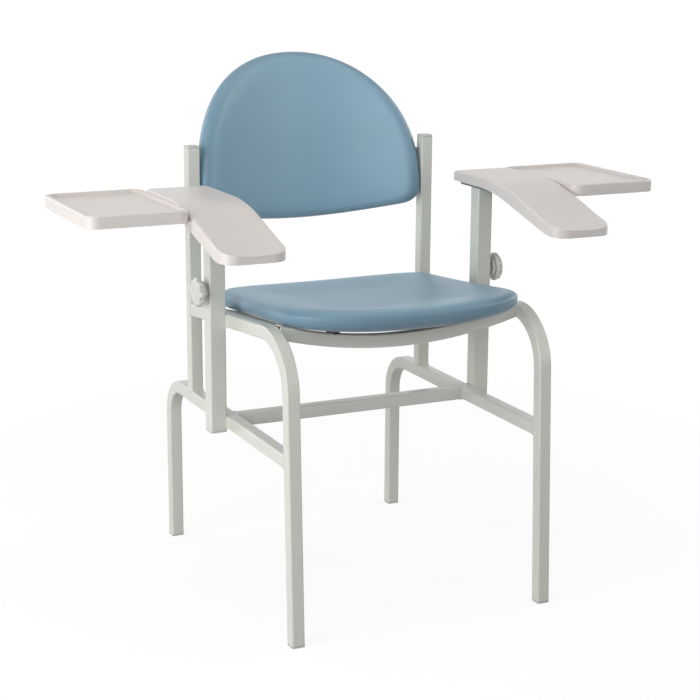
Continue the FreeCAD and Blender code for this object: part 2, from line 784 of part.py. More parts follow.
def superellipse(share, power):
    """Half width of a rounded end, as a share, at a share of the way from the end to full width."""
    inward = 1 - min(max(share, 0), 1)
    return (1 - inward ** power) ** (1 / power)


def cushion_section(along, half, low_middle, low_side, high_middle, high_side, bulge):
    """Cross-section of a cushion: hollow top, rounded sides and bowed bottom."""
    flat = half - bulge
    top_left = Vector(-flat, along, high_side)
    top_right = Vector(flat, along, high_side)
    low_left = Vector(-flat, along, low_side)
    low_right = Vector(flat, along, low_side)
    side = (high_side + low_side) / 2
    edges = [Part.Arc(top_left, Vector(0, along, high_middle), top_right).toShape(),
             Part.Arc(top_right, Vector(half, along, side), low_right).toShape(),
             Part.Arc(low_right, Vector(0, along, low_middle), low_left).toShape(),
             Part.Arc(low_left, Vector(-half, along, side), top_left).toShape()]
    return Part.Wire(edges)


def station_shares(count, steepest):
    """Shares of a length for loft sections, close together near both ends."""
    angles = [math.radians(steepest * (2 * index / (count - 1) - 1)) for index in range(count)]
    return [(1 + math.sin(angle)) / 2 for angle in angles]


def seat_cushion(pocket):
    """Seat cushion with a crown, rounded sides and rolled front and rear edges."""
    sections = []
    middle = (seat_top_middle + seat_bottom_middle) / 2
    side_middle = (seat_top_side + seat_bottom_side) / 2
    side_half = (seat_top_side - seat_bottom_side) / 2
    for share in station_shares(seat_stations, steepest_station):
        from_front = share * seat_length
        from_rear = seat_length - from_front
        plan = min(superellipse(from_front / seat_front_reach, seat_front_power),
                   superellipse(from_rear / seat_rear_reach, seat_rear_power))
        roll = min(superellipse(from_front / seat_end_roll, 2), superellipse(from_rear / seat_end_roll, 2))
        half = seat_half_width * plan * (1 + seat_taper_share * (0.5 - share))
        dip = seat_dip * math.sin(math.pi * share)
        high_middle = middle + (seat_top_middle - dip - middle) * roll
        low_middle = middle - (middle - seat_bottom_middle) * roll
        edge_middle = middle + (side_middle - middle) * plan ** 2 + seat_rear_curl * share ** 2
        high_side = edge_middle + side_half * roll
        low_side = edge_middle - side_half * roll
        bulge = min(seat_side_round * min(roll, plan) * roll, half / 3, side_half * roll * full_round_share)
        sections.append(cushion_section(seat_front_along + from_front, half, low_middle, low_side,
                                        high_middle, high_side, bulge))
    body = Part.makeLoft(sections, True, False)
    return in_seat_slope(body).cut(pocket)


def seat_board_solid():
    """Board under the seat cushion, bowed like the cushion's underside."""
    radius = seat_bottom_radius()
    half = seat_board_half_width + over
    sag = radius - math.sqrt(radius ** 2 - half ** 2)
    y0 = seat_board_front_along
    low = seat_board_bottom
    high = seat_board_bottom + seat_board
    edges = [Part.Arc(Vector(-half, y0, low + sag), Vector(0, y0, low),
                      Vector(half, y0, low + sag)).toShape(),
             Part.makeLine(Vector(half, y0, low + sag), Vector(half, y0, high + sag)),
             Part.Arc(Vector(half, y0, high + sag), Vector(0, y0, high),
                      Vector(-half, y0, high + sag)).toShape(),
             Part.makeLine(Vector(-half, y0, high + sag), Vector(-half, y0, low + sag))]
    slab = prism(Part.Wire(edges), Vector(0, seat_board_length, 0))
    outline = upright_prism(-seat_board_half_width, seat_board_half_width, y0, y0 + seat_board_length,
                            low - over, high + sag + over, seat_board_corner)
    return in_seat_slope(slab.common(outline))


def seat_bottom_radius():
    """Radius of the bowed underside of the seat cushion, shared by its board."""
    flat = seat_half_width - seat_side_round
    rise = seat_bottom_side - seat_bottom_middle
    return (flat ** 2 + rise ** 2) / (2 * rise)


def bearer_radius():
    """Radius of a seat bearer's centre line."""
    return (inner_x ** 2 + bearer_droop ** 2) / (2 * bearer_droop)


def square_to_bearer(shape, along, side):
    """Carry a piece modelled upright under the seat to where its axis is square to a bearer."""
    turned = shape.copy()
    centre = Vector(0, along, bearer_radius() - bearer_droop - tube / 2)
    turned.translate(Vector(0, along, -bearer_droop - tube / 2))
    turned.rotate(centre, Vector(0, 1, 0), -side * seat_screw_lean)
    return in_seat_slope(turned)


def seat_fixing_places():
    """Bearer and side of each of the four seat screws."""
    return [(along, side) for along in (front_bearer_along, rear_bearer_along) for side in (-1, 1)]


def seat_spacer(along, side, bearer_outside, board):
    """Plastic spacer between a bearer and the bowed seat board."""
    body = Part.makeCylinder(spacer_radius, tube + seat_board, origin)
    bore = Part.makeCylinder(screw_radius, 2 * tube, Vector(0, 0, -tube / 2))
    placed = square_to_bearer(body, along, side).cut(bearer_outside).cut(board)
    pieces = [piece for piece in placed.Solids if piece.distToShape(board)[0] < screw_play]
    spacer = min(pieces, key=lambda piece: piece.BoundBox.ZMin)
    return spacer.cut(square_to_bearer(bore, along, side))


def seat_screw(along, side):
    """Screw from below through a bearer and its spacer into the seat board."""
    screw = pan_screw(0, 0, tube / 2 - tube_wall, 1, seat_screw_length())
    return square_to_bearer(screw, along, side)


def seat_access_hole(along, side):
    """Cutter for the hole under a bearer through which a seat screw is driven."""
    hole = Part.makeCylinder(access_hole_radius, tube / 2, Vector(0, 0, -tube / 2 - over))
    return square_to_bearer(hole, along, side)


def seat_screw_length():
    """From under the bearer's top wall to the middle of the board."""
    x = bearer_radius() * math.sin(math.radians(seat_screw_lean))
    board_z = seat_board_bottom + x ** 2 / (2 * seat_bottom_radius())
    bearer_z = -bearer_droop + x ** 2 / (2 * bearer_radius())
    return tube_wall + board_z - bearer_z + seat_board * seat_grip_share


def back_sag(x):
    """How far the front face has come forward at one place across, against the middle."""
    return bow_radius - math.sqrt(bow_radius ** 2 - x ** 2)


def leaning_back(y, z):
    """A height's point of the back, set back by the recline."""
    return y + back_recline_share * (z - back_level)


def back_top(x):
    """Height of the arched outline at one place across."""
    share = (1 - abs(x / back_half_width) ** back_side_power) ** (1 / back_dome_power)
    return back_level + (back_dome_top - back_level) * share


def back_low(x):
    """Height of the bowed bottom outline at one place across, rounded up at the corners."""
    low = back_bottom + back_bottom_bow * (x / back_half_width) ** 2
    from_side = back_half_width - abs(x)
    if from_side < back_corner:
        inward = (back_corner - from_side) / back_corner
        low += back_corner * (1 - math.sqrt(1 - inward ** 2))
    return low


def back_section(x):
    """Upright cross-section of the back: crowned front, round top and bottom, flat rear."""
    fullness = superellipse((back_half_width - abs(x)) / back_side_round, 2)
    thickness = back_thickness * (back_thin_share + (1 - back_thin_share) * fullness)
    high = back_top(x)
    low = back_low(x)
    middle_y = front_y + back_setback - back_sag(x) + back_thickness / 2
    front = middle_y - thickness / 2
    rear = middle_y + thickness / 2
    turn = back_round * (back_round_share + (1 - back_round_share) * fullness)
    turn = min(turn, thickness / 2 * full_round_share, (high - low) / 3)
    middle_z = (high + low) / 2

    def at(y, z):
        return Vector(x, leaning_back(y, z), z)

    edges = [Part.Arc(at(front, low + turn), at(front - back_crown * fullness, middle_z),
                      at(front, high - turn)).toShape(),
             Part.Arc(at(front, high - turn), at(middle_y, high), at(rear, high - turn)).toShape(),
             Part.makeLine(at(rear, high - turn), at(rear, low + turn)),
             Part.Arc(at(rear, low + turn), at(middle_y, low), at(front, low + turn)).toShape()]
    return Part.Wire(edges)


def back_cushion(pocket):
    """Arched back cushion, hollow towards the sitter, with a rolled edge all round."""
    sections = [back_section(back_half_width * (2 * share - 1))
                for share in station_shares(back_stations, steepest_station)]
    return Part.makeLoft(sections, True, False).cut(pocket)


def bow_edge(half, behind, z):
    """Level arc with the bow of the back, a distance behind its front face."""
    y = front_y + back_setback + behind
    end = leaning_back(y - back_sag(half), z)
    return (Vector(-half, end, z), Vector(0, leaning_back(y, z), z), Vector(half, end, z))


def leaning_prism(edges, height):
    """The solid between a level face and its copy further up the recline."""
    return prism(Part.Wire(edges), Vector(0, back_recline_share * height, height))


def back_board_solid():
    """Bowed board set in the rear of the back cushion, arched like it."""
    half = back_half_width - back_board_inset
    low = back_bottom + back_board_inset
    high = back_dome_top - back_board_inset
    rear = back_thickness + back_board_proud
    front_arc = bow_edge(half + over, rear - back_board, low - over)
    rear_arc = bow_edge(half + over, rear, low - over)
    slab = leaning_prism([Part.Arc(*front_arc).toShape(), Part.makeLine(front_arc[2], rear_arc[2]),
                          Part.Arc(*reversed(rear_arc)).toShape(), Part.makeLine(rear_arc[0], front_arc[0])],
                         high - low + 2 * over)
    corner = back_board_corner
    lift = corner * quarter_share
    side_low = low + back_bottom_bow * (half / back_half_width) ** 2

    def at(x, z):
        return Vector(x, front_y, z)

    arch_points = []
    for index in range(board_arch_steps + 1):
        angle = math.pi * index / board_arch_steps
        share = abs(math.cos(angle)) ** (2 / back_side_power)
        rise = math.sin(angle) ** (2 / back_dome_power)
        x = math.copysign(share, math.cos(angle)) * half
        arch_points.append(at(x, back_level + (high - back_level) * rise))
    arch_curve = Part.BSplineCurve()
    arch_curve.interpolate(arch_points)
    edges = [Part.Arc(at(-half + corner, side_low), at(0, low), at(half - corner, side_low)).toShape(),
             Part.Arc(at(half - corner, side_low), at(half - lift, side_low + lift),
                      at(half, side_low + corner)).toShape(),
             Part.makeLine(at(half, side_low + corner), arch_points[0]),
             arch_curve.toShape(),
             Part.makeLine(arch_points[-1], at(-half, side_low + corner)),
             Part.Arc(at(-half, side_low + corner), at(-half + lift, side_low + lift),
                      at(-half + corner, side_low)).toShape()]
    arch = prism(Part.Wire(edges), Vector(0, back_reach, 0))
    return slab.common(arch)


def back_strap(height):
    """Bowed flat bar welded to the rear faces of both posts, to which the back is screwed."""
    z0 = height - strap_height / 2
    y0 = post_y + tube - back_recline_share * strap_height / 2
    end = half_width - tube_corner
    touch = strap_contact_x
    front_arc = bow_edge(touch, back_thickness + back_board_proud + strap_gap, z0)
    out_x = strap * touch / bow_radius
    out_y = strap * math.sqrt(1 - (touch / bow_radius) ** 2)
    slant = math.atan2(front_arc[2].y - y0, strap_bend_x - touch)
    miter = strap * math.tan(slant / 2)
    right = [Vector(strap_bend_x, y0, z0), Vector(end, y0, z0), Vector(end, y0 + strap, z0),
             Vector(strap_bend_x + miter, y0 + strap, z0), front_arc[2] + Vector(out_x, out_y, 0)]
    left = [Vector(-point.x, point.y, z0) for point in reversed(right)]
    rear_middle = front_arc[1] + Vector(0, strap, 0)
    edges = [Part.Arc(*front_arc).toShape(), Part.makeLine(front_arc[2], right[0])]
    edges += [Part.makeLine(right[index], right[index + 1]) for index in range(4)]
    edges.append(Part.Arc(right[4], rear_middle, left[0]).toShape())
    edges += [Part.makeLine(left[index], left[index + 1]) for index in range(4)]
    edges.append(Part.makeLine(left[4], front_arc[0]))
    bar = leaning_prism(edges, strap_height)
    for side in (-1, 1):
        inner, outer = sorted((side * (inner_x - over), side * (half_width + over)))
        bar = bar.cut(box(inner, outer, post_y, post_y + tube, z0 - over, z0 + strap_height + over))
    return bar


def back_screw(x, height):
    """Screw from behind through a strap into the back board."""
    bow = bow_edge(abs(x), back_thickness + back_board_proud + strap_gap, height)
    screw = pan_screw(0, 0, 0, 1, strap + back_screw_grip)
    turn = math.degrees(math.asin(x / bow_radius))
    screw.translate(Vector(0, 0, -strap))
    screw.rotate(origin, side_normal, 90 + math.degrees(math.atan(back_recline_share)))
    screw.rotate(origin, up, -turn)
    screw.translate(Vector(x, bow[2].y, height))
    return screw


def export(nodes):
    """One STEP file for each node."""
    os.makedirs("parts", exist_ok=True)
    for name, shape in nodes.items():
        shape.exportStep("parts/" + name + ".step")
        print(name, len(shape.Solids), "solids", round(shape.Volume / 1000, 1), "cm3", shape.isValid())


def build():
    """All nodes of the chair."""
    nodes = {}
    rail_outside, front_leg = front_leg_and_seat_rail()
    rear_leg = rear_leg_and_lower_rail(rail_outside)[1]
    stud = clamp_stud()
    stud_hole = Part.makeCylinder(stud_radius + 2 * screw_play, sleeve, on_knob_axis(sleeve_x), side_normal)
    plate_screws = [pan_screw(x, y, rest_bottom - plate, 1, plate + screw_grip)
                    for x, y in arm_screw_places()]
    one_side = {"front_leg_and_seat_rail": front_leg,
                "rear_leg_and_lower_rail": rear_leg,
                "back_post": back_post(),
                "arm_sleeve": arm_sleeve(stud_hole),
                "arm_post": arm_post(),
                "arm_post_plug": arm_post_plug(),
                "arm_plate": arm_plate(),
                "arm_rest": arm_rest(),
                "side_tray": side_tray(),
                "arm_screws": group(plate_screws),
                "clamp_knob": hand_knob(stud),
                "clamp_stud": stud}
    for name, shape in one_side.items():
        nodes["right_" + name] = shape
        nodes["left_" + name] = mirrored(shape)

    nodes["lower_stretcher"] = lower_stretcher()
    outsides = {}
    bearers = {}
    for along in (front_bearer_along, rear_bearer_along):
        outsides[along], bearers[along] = seat_bearer(along)
    nodes["leg_glides"] = both_sides([front_glide(), leg_glide(half_depth - tube / 2, None)])
    nodes["back_post_caps"] = both_sides([back_post_cap()])
    nodes["sleeve_plugs"] = both_sides([sleeve_plug()])
    nodes["clamp_nuts"] = both_sides([clamp_nut()])

    board = seat_board_solid()
    screws = group([seat_screw(along, side) for along, side in seat_fixing_places()])
    access_holes = group([seat_access_hole(along, side) for along, side in seat_fixing_places()])
    spacers = [seat_spacer(along, side, outsides[along], board) for along, side in seat_fixing_places()]
    nodes["seat_board"] = board.cut(screws)
    nodes["seat_cushion"] = seat_cushion(board)
    nodes["seat_spacers"] = group(spacers)
    nodes["seat_screws"] = screws
    for name, along in (("front_seat_bearer", front_bearer_along), ("rear_seat_bearer", rear_bearer_along)):
        nodes[name] = bearers[along].cut(screws).cut(access_holes)

    rear_board = back_board_solid()
    heights = (upper_strap_height, lower_strap_height)
    back_fixings = both_sides([back_screw(strap_screw_spacing / 2, height) for height in heights])
    nodes["back_board"] = rear_board.cut(back_fixings)
    nodes["back_cushion"] = back_cushion(rear_board)
    nodes["upper_back_strap"] = back_strap(upper_strap_height).cut(back_fixings)
    nodes["lower_back_strap"] = back_strap(lower_strap_height).cut(back_fixings)
    nodes["back_screws"] = back_fixings
    return nodes


export(build())
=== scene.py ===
# %% [markdown]
# # Phlebotomy chair
# A chair for taking blood: a welded frame of square steel tube, a bowed seat and an arched back
# in smooth blue vinyl, and on each side a moulded arm rest with a tray. Each arm slides up and
# down in a square sleeve, and a lobed hand knob clamps it.
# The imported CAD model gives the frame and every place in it. This script adds the finishes, the
# soft shapes of the cushions, the small things that a welder and a moulder leave, and the light.

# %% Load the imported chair
import bpy
import json
import math
import numpy as np
from mathutils import Matrix, Vector


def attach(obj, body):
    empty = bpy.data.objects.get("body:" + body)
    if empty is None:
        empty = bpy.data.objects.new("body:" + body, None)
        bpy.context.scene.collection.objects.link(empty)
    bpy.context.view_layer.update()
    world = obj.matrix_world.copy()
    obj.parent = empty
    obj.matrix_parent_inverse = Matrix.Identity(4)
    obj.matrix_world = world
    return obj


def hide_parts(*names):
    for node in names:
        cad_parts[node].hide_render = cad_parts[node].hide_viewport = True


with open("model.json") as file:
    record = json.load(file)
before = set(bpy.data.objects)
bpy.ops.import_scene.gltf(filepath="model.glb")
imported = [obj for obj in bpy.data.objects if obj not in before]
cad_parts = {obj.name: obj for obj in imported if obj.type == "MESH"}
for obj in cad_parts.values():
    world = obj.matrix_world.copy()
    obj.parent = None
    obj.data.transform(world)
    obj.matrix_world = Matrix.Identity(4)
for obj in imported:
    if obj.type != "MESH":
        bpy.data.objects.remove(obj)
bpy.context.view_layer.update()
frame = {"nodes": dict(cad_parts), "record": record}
nodes = frame["nodes"]
slot_of = {part["node"]: part["material_slot"] for part in frame["record"]["subparts"]}

# %% [markdown]
# ## The camera
# Product photographs of furniture are taken from a few metres away with a long lens, so that
# the legs hardly converge. The camera stands left of the chair, a little above the arm rests,
# and looks down 14 degrees. A small roll is left in, as in most hand-set tripods.

# %% Camera
camera_place = Vector((-1.2215, -2.5886, 1.1030))
camera_turn = (Matrix.Rotation(math.radians(-25.249), 4, "Z")
               @ Matrix.Rotation(math.radians(76.175), 4, "X")
               @ Matrix.Rotation(math.radians(0.346), 4, "Z"))
lens = bpy.data.cameras.new("camera")
lens.lens = 87.14
lens.sensor_width = 36.0
camera = bpy.data.objects.new("camera", lens)
camera.matrix_world = Matrix.Translation(camera_place) @ camera_turn
bpy.context.collection.objects.link(camera)
bpy.context.scene.camera = camera
print("camera", round(camera_place.length, 2), "m from the middle of the floor")

# %% [markdown]
# ## Finishes as Python expressions
# A finish is a small network of shader nodes. Writing it as arithmetic keeps it readable: a
# Signal wraps a socket, and every operator on it adds one Math node. One method adds any
# other node.

# %% Signals and finishes
def linear(red, green, blue):
    """A colour given in screen values, 0 to 255, as the linear values that shaders use."""
    share = np.array([red, green, blue]) / 255
    low = share / 12.92
    high = ((share + 0.055) / 1.055) ** 2.4
    return tuple(float(v) for v in np.where(share <= 0.04045, low, high)) + (1.0,)


class Signal:
    """A socket whose operators add Math nodes."""

    def __init__(self, finish, socket):
        self.finish = finish
        self.socket = socket

    def math(self, operation, *values):
        """The signal of a new Math node."""
        return self.finish.node("ShaderNodeMath", {"operation": operation}, dict(enumerate(values)))

    def __add__(self, other):
        return self.math("ADD", self, other)

    def __radd__(self, other):
        return self.math("ADD", other, self)

    def __mul__(self, other):
        return self.math("MULTIPLY", self, other)

    def ramp(self, low, high, start=0.0, end=1.0):
        """The signal carried smoothly from start at low to end at high."""
        return self.finish.node("ShaderNodeMapRange", {"interpolation_type": "SMOOTHSTEP"},
                                {0: self, 1: low, 2: high, 3: start, 4: end})


class Finish:
    """A material with one main shader and a method that adds a node."""

    def __init__(self, name, **shader_values):
        self.material = bpy.data.materials.new(name)
        self.material.use_nodes = True
        self.tree = self.material.node_tree
        self.shader = self.tree.nodes["Principled BSDF"]
        for key, value in shader_values.items():
            self.shader.inputs[key.replace("_", " ")].default_value = value

    def node(self, kind, settings=None, inputs=None, output=0):
        """Add a node with its settings and inputs, and give one output as a signal."""
        made = self.tree.nodes.new(kind)
        for key, value in (settings or {}).items():
            setattr(made, key, value)
        for key, value in (inputs or {}).items():
            self.feed(made.inputs[key], value)
        return Signal(self, made.outputs[output])

    def feed(self, socket, value):
        """Link a signal to a socket, or set a plain value on it."""
        if isinstance(value, Signal):
            self.tree.links.new(value.socket, socket)
        else:
            socket.default_value = value

    def set(self, name, value):
        """Feed an input of the main shader."""
        self.feed(self.shader.inputs[name], value)

    def place(self):
        """Object coordinates: metres on the chair."""
        return self.node("ShaderNodeTexCoord", output="Object")

    def noise(self, size, detail=3.0, roughness=0.55, stretch=None):
        """Cloudy noise whose patches are about size metres across, from 0 to 1."""
        where = self.place()
        if stretch:
            where = self.node("ShaderNodeMapping", inputs={"Vector": where, "Scale": stretch})
        return self.node("ShaderNodeTexNoise", inputs={
            "Vector": where, "Scale": 1.0 / size, "Detail": detail, "Roughness": roughness})

    def mix(self, share, first, second):
        """A colour between two, by a share from 0 to 1."""
        return self.node("ShaderNodeMix", {"data_type": "RGBA"},
                         {0: share, 6: first, 7: second}, output=2)

    def bump(self, height, depth, strength=1.0):
        """Normals that tilt as a height of 0 to 1, depth metres deep, would tilt them."""
        return self.node("ShaderNodeBump", inputs={
            "Height": height, "Distance": depth, "Strength": strength})


finishes = {}
print("colour check:", [round(v, 3) for v in linear(200, 203, 196)])

# %% [markdown]
# ## Powder coat
# The frame is sprayed with dry paint powder and baked. The film has a satin gloss and a very
# fine orange peel, a millimetre or two across. Two sizes of noise make the peel, and a third,
# the width of a hand, lets the gloss drift a little as film thickness does.

# %% Frame paint
def powder_coat(name, light, dark, rough):
    """Satin paint: the peel is 0.7 of a coarse noise plus 0.3 of a fine one, and the drift
    adds up to 0.04 to the roughness."""
    finish = Finish(name, Specular_IOR_Level=0.5, Coat_Weight=0.2, Coat_Roughness=0.22)
    drift = finish.noise(0.16, detail=0.0)
    peel = finish.noise(0.0016, detail=2.0) * 0.7 + finish.noise(0.0007, detail=1.0) * 0.3
    finish.set("Base Color", finish.mix(drift.ramp(0.1, 0.9), dark, light))
    finish.set("Roughness", rough + drift * 0.04)
    finish.set("Normal", finish.bump(peel, 0.00006))
    return finish.material


finishes["frame_paint"] = powder_coat("frame_paint", linear(213, 214, 206), linear(210, 212, 204), 0.28)
finishes["plate_paint"] = powder_coat("plate_paint", linear(128, 133, 129), linear(118, 123, 119), 0.3)
print("paint:", finishes["frame_paint"].name, "and", finishes["plate_paint"].name)

# %% [markdown]
# ## Moulded plastics
# Arm rests and trays are one warm white plastic with a fine spark-eroded texture from the
# mould. Knobs, caps and glides are harder and a little shinier. The same function makes them
# all: speckle in the colour too faint to see as dots, and a fine bump.

# %% Plastics
def moulded(name, light, dark, rough, grain, depth):
    """Moulded plastic: its colour follows 0.6 of a cloud plus 0.4 of the grain."""
    finish = Finish(name, Specular_IOR_Level=0.5)
    cloud = finish.noise(0.05, detail=2.0)
    fine = finish.noise(grain, detail=2.0)
    finish.set("Base Color", finish.mix(cloud * 0.6 + fine * 0.4, dark, light))
    finish.set("Roughness", rough + cloud * 0.06)
    finish.set("Normal", finish.bump(fine, depth))
    return finish.material


finishes["arm_plastic"] = moulded("arm_plastic", linear(222, 216, 212), linear(216, 210, 205), 0.3,
                                  0.0009, 0.00003)
finishes["knob_plastic"] = moulded("knob_plastic", linear(214, 216, 210), linear(206, 208, 201), 0.22,
                                   0.0012, 0.00002)
finishes["grey_plastic"] = moulded("grey_plastic", linear(196, 198, 192), linear(184, 187, 181), 0.35,
                                   0.0008, 0.00003)
finishes["black_plastic"] = moulded("black_plastic", linear(46, 47, 49), linear(36, 37, 39), 0.45,
                                    0.0008, 0.00003)
print("plastics made:", len(finishes) - 2)

# %% [markdown]
# ## Vinyl, board and zinc
# The vinyl is a smooth medical grade: almost no grain, a soft broad sheen, and a faint change
# of depth in its colour. Towards each pad's outline and over its underside the colour is
# painted darker: painted shade for the dark rims that the light leaves there. The pads carry
# that share as a number at each point. The boards inside are plywood painted black, where the
# grain still lifts the paint. Screws are zinc plated, with the streaks of the plating bath.

# %% Vinyl
vinyl = Finish("upholstery", Specular_IOR_Level=0.38)
tone = vinyl.noise(0.16, detail=2.0)
pores = vinyl.noise(0.0011, detail=3.0, roughness=0.7)
skin = vinyl.node("ShaderNodeTexVoronoi", {"feature": "DISTANCE_TO_EDGE"},
                  {"Vector": vinyl.place(), "Scale": 620.0}, output="Distance")
level = vinyl.mix(tone.ramp(0.1, 0.9), linear(136, 170, 189), linear(140, 173, 191))
# Painted shade: the colour is blended towards a deeper blue by each point's share of painted rim shade,
# near the pad's outline and over its underside.
under = vinyl.node("ShaderNodeAttribute", {"attribute_name": "painted_rim_shade"}, output="Fac")
vinyl.set("Base Color", vinyl.mix(under, level, linear(82, 112, 134)))
vinyl.set("Roughness", 0.33 + pores * 0.08)
vinyl.set("Normal", vinyl.bump(skin.ramp(0.0, 0.12) * 0.5 + pores * 0.5, 0.00004))
finishes["upholstery"] = vinyl.material
print("vinyl grain about", round(1000 / 620, 1), "mm")

# %% Painted board
board = Finish("board", Specular_IOR_Level=0.4)
streaks = board.noise(0.004, detail=4.0, stretch=(1.0, 0.08, 1.0))
board.set("Base Color", board.mix(streaks, linear(40, 42, 45), linear(58, 59, 62)))
board.set("Roughness", 0.55 + streaks * 0.15)
board.set("Normal", board.bump(streaks, 0.00015))
finishes["board"] = board.material
print("board streaks about 4 mm wide, drawn out along the board's depth")

# %% Zinc
zinc = Finish("zinc", Metallic=1.0)
bath = zinc.noise(0.004, detail=3.0)
zinc.set("Base Color", zinc.mix(bath, linear(178, 180, 178), linear(205, 206, 206)))
zinc.set("Roughness", 0.28 + bath * 0.15)
finishes["zinc"] = zinc.material
for name, obj in nodes.items():
    for held in obj.material_slots:
        held.material = finishes[slot_of[name]]
print("finishes on", len(nodes), "nodes")

# %% [markdown]
# ## Meshes from grids
# A surface here is an array of points, rows by columns. Rows are rings round the piece, so the
# last column joins the first, and the two ends are closed by a pole.

# %% Rings to mesh
def ring_faces(rows, columns):
    """Quads between neighbouring rings, as indices into rows times columns points."""
    row, column = np.meshgrid(np.arange(rows - 1), np.arange(columns), indexing="ij")
    ahead = (column + 1) % columns
    quads = np.stack([row * columns + column, row * columns + ahead,
                      (row + 1) * columns + ahead, (row + 1) * columns + column], axis=-1)
    return quads.reshape(-1, 4).tolist()


def pole_faces(ring, pole, flip):
    """Triangles from one ring's indices to a pole."""
    pairs = zip(ring, np.roll(ring, -1))
    return [(pole, b, a) if flip else (pole, a, b) for a, b in pairs]


def piece(name, points, faces, body, slot):
    """A mesh object with its finish, on a CAD body."""
    mesh = bpy.data.meshes.new(name)
    mesh.from_pydata(points.tolist(), [], [[int(index) for index in face] for face in faces])
    mesh.update()
    mesh.shade_smooth()
    made = bpy.data.objects.new(name, mesh)
    bpy.context.collection.objects.link(made)
    made.data.materials.append(finishes[slot])
    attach(made, body)
    return made


def closed_skin(rings, first_pole, last_pole):
    """Points and faces of a skin over rings, with a pole at each end."""
    rows, columns = rings.shape[:2]
    points = np.concatenate([rings.reshape(-1, 3), [first_pole, last_pole]])
    faces = ring_faces(rows, columns)
    faces += pole_faces(np.arange(columns), rows * columns, True)
    faces += pole_faces(np.arange(columns) + (rows - 1) * columns, rows * columns + 1, False)
    return points, faces


def lofted(name, rings, first_pole, last_pole, body, slot):
    """A closed skin as a piece."""
    points, faces = closed_skin(rings, first_pole, last_pole)
    return piece(name, points, faces, body, slot)


def superellipse(share, power):
    """Half width of a rounded end, as a share, at a share of the way from the end to full width."""
    inward = 1 - np.clip(share, 0, 1)
    return (1 - inward ** power) ** (1 / power)


def soften(rings, reach):
    """Rings blurred along themselves, so that a crease becomes a small round."""
    offsets = range(-round(3 * reach), round(3 * reach) + 1)
    weights = np.exp(-(np.array(offsets) / reach) ** 2 / 2)
    weights /= weights.sum()
    return sum(w * np.roll(rings, o, axis=1) for w, o in zip(weights, offsets))


print("helpers ready")

# %% [markdown]
# ## Padded forms
# Seat and back are foam on a bowed board under vinyl that is drawn tight. Such a pad has three
# parts to its edge: a nose that turns right round, a shoulder that falls away slowly inside it,
# and a nearly level middle. All three depend on one thing, how far a point lies inside the
# outline. So the outline is drawn in, ring by ring, to a point in the middle, each point's
# distance from the outline is measured, and the heights follow from that distance.

# %% Pad helpers
def closed_outline(first, second, columns):
    """A closed curve cut into equal steps by its running length."""
    points = np.stack([first, second], axis=-1)
    run = np.concatenate([[0], np.cumsum(np.linalg.norm(np.diff(points, axis=0), axis=1))])
    even = np.linspace(0, run[-1], columns, endpoint=False)
    return np.stack([np.interp(even, run, points[:, k]) for k in range(2)], axis=-1)


def drawn_in(outline, centre, rows):
    """The outline shrunk to a centre by sin(t), so that rings crowd at the edge, and the
    distance of every point from the nearest side of the outline."""
    rings = centre + np.sin(np.linspace(0.04, np.pi / 2, rows))[:, None, None] * (outline - centre)
    nearest = np.full(rings.shape[:2], np.inf)
    for start, end in zip(outline, np.roll(outline, -1, axis=0)):
        side = end - start
        along = np.clip((rings - start) @ side / (side @ side), 0, 1)[..., None]
        nearest = np.minimum(nearest, np.linalg.norm(rings - start - along * side, axis=-1))
    return rings, nearest


def shoulder(distance, reach, fall):
    """How far a surface has fallen: fall times (1 - distance / reach) squared."""
    return fall * np.clip(1 - distance / reach, 0, 1) ** 2


def smooth(share):
    """A share held between 0 and 1 and eased at both ends: 3 t^2 - 2 t^3."""
    held = np.clip(share, 0, 1)
    return held ** 2 * (3 - 2 * held)


def both_sides(upper, lower):
    """Rings from the middle of one side, over the edge, to the middle of the other."""
    return np.concatenate([upper, lower[-2::-1]])


def outward(rings):
    """Rings turned so that faces point out: the sum of a . (b x c) over their triangles is
    six times the volume, and its sign tells the turn."""
    a, b = rings[:-1], np.roll(rings, -1, axis=1)[:-1]
    c, d = np.roll(rings, -1, axis=1)[1:], rings[1:]
    volume = np.sum(a * np.cross(b, c)) + np.sum(a * np.cross(c, d))
    return (rings if volume > 0 else rings[:, ::-1]), abs(volume) / 6


def mark_painted_rim_shade(made, inside, reach):
    """Each point's share of painted shade at the pad's rim, kept as an attribute: on the face it
    rises from 0 at reach inside the outline to a half at the outline, and on the other side from
    there to 1, both smoothly."""
    face = np.clip(inside / reach, 0, 1)
    rise = (1 - face) ** 2 * (1 + 2 * face) / 2
    share = np.concatenate([both_sides(rise, 1 - rise).ravel(), [0, 1]])
    made.data.attributes.new("painted_rim_shade", "FLOAT", "POINT").data.foreach_set("value", share)


print("pad helpers ready")

# %% [markdown]
# ## Seat cushion
# The seat hangs through between the side rails like a shallow hammock, higher at both sides
# than in the middle. Its shoulder is wide, because the foam thins out over the edge of the
# board, and at the front it carries the sitter's thighs. It is modelled directly and not with
# a cloth simulation: tight vinyl on moulded foam has no folds, and the slow fall of its
# shoulder shows in the photograph, so it is given by a formula.

# %% Seat cushion
seat_slope = math.radians(5.2)
corner_place = np.array([0, -0.2955 + 0.510 * math.tan(math.radians(2.55)), 0.510])


def in_seat_slope(points):
    """Points measured level from the rail's front corner, carried to the slope of the seat."""
    x, y, z = np.moveaxis(np.asarray(points), -1, 0)
    cosine, sine = math.cos(seat_slope), math.sin(seat_slope)
    return np.stack([x, y * cosine + z * sine, -y * sine + z * cosine], axis=-1) + corner_place


